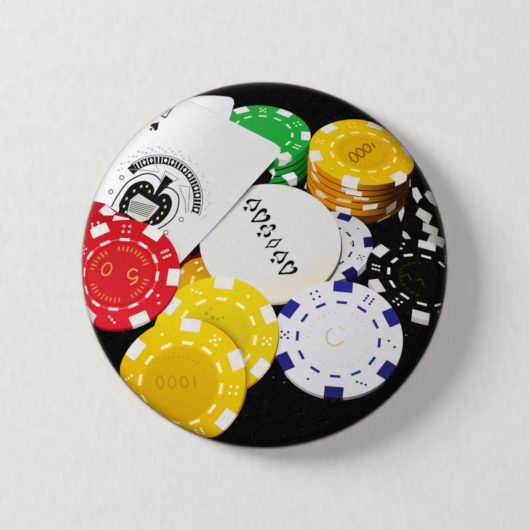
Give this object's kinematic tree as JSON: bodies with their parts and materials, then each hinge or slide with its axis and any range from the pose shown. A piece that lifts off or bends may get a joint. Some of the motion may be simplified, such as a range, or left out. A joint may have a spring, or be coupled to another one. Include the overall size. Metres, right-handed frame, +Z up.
{
  "type": "dealer button badge",
  "caption": "Round pin-back button badge: domed tin shell with a card-table print under clear film, and a spring-wire pin with a catch on the dished back.",
  "frame": {"origin": "centre of the rolled rim's rear plane, on the badge's axis", "axes": "+Z up as worn, +Y out of the back into the cloth, -Y out of the printed face, +X to the right of a reader facing the print"},
  "size_m": [0.0572, 0.007, 0.0572],
  "materials": {
    "clear_film": "clear semi-gloss polyester film",
    "printed_paper": "ink print on coated white paper",
    "front_tin": "plain pressed tinplate",
    "back_tin": "bright pressed tinplate",
    "spring_wire": "nickel-plated spring wire"
  },
  "bodies": {
    "badge": {"clear_film": "clear_film", "printed_sheet": "printed_paper", "front_shell": "front_tin", "back_plate": "back_tin", "pin_anchor": "spring_wire"},
    "pin": {"pin_arm": "spring_wire"}
  },
  "joints": [
    {"name": "pin_open", "type": "hinge", "parent": "badge", "child": "pin", "pos_m": [-0.0152, -0.0014, 0.0095], "axis": [0, -0.9063, 0.4226], "range_deg": [0, 28], "stiffness_Nm_per_rad": 0.01}
  ]
}
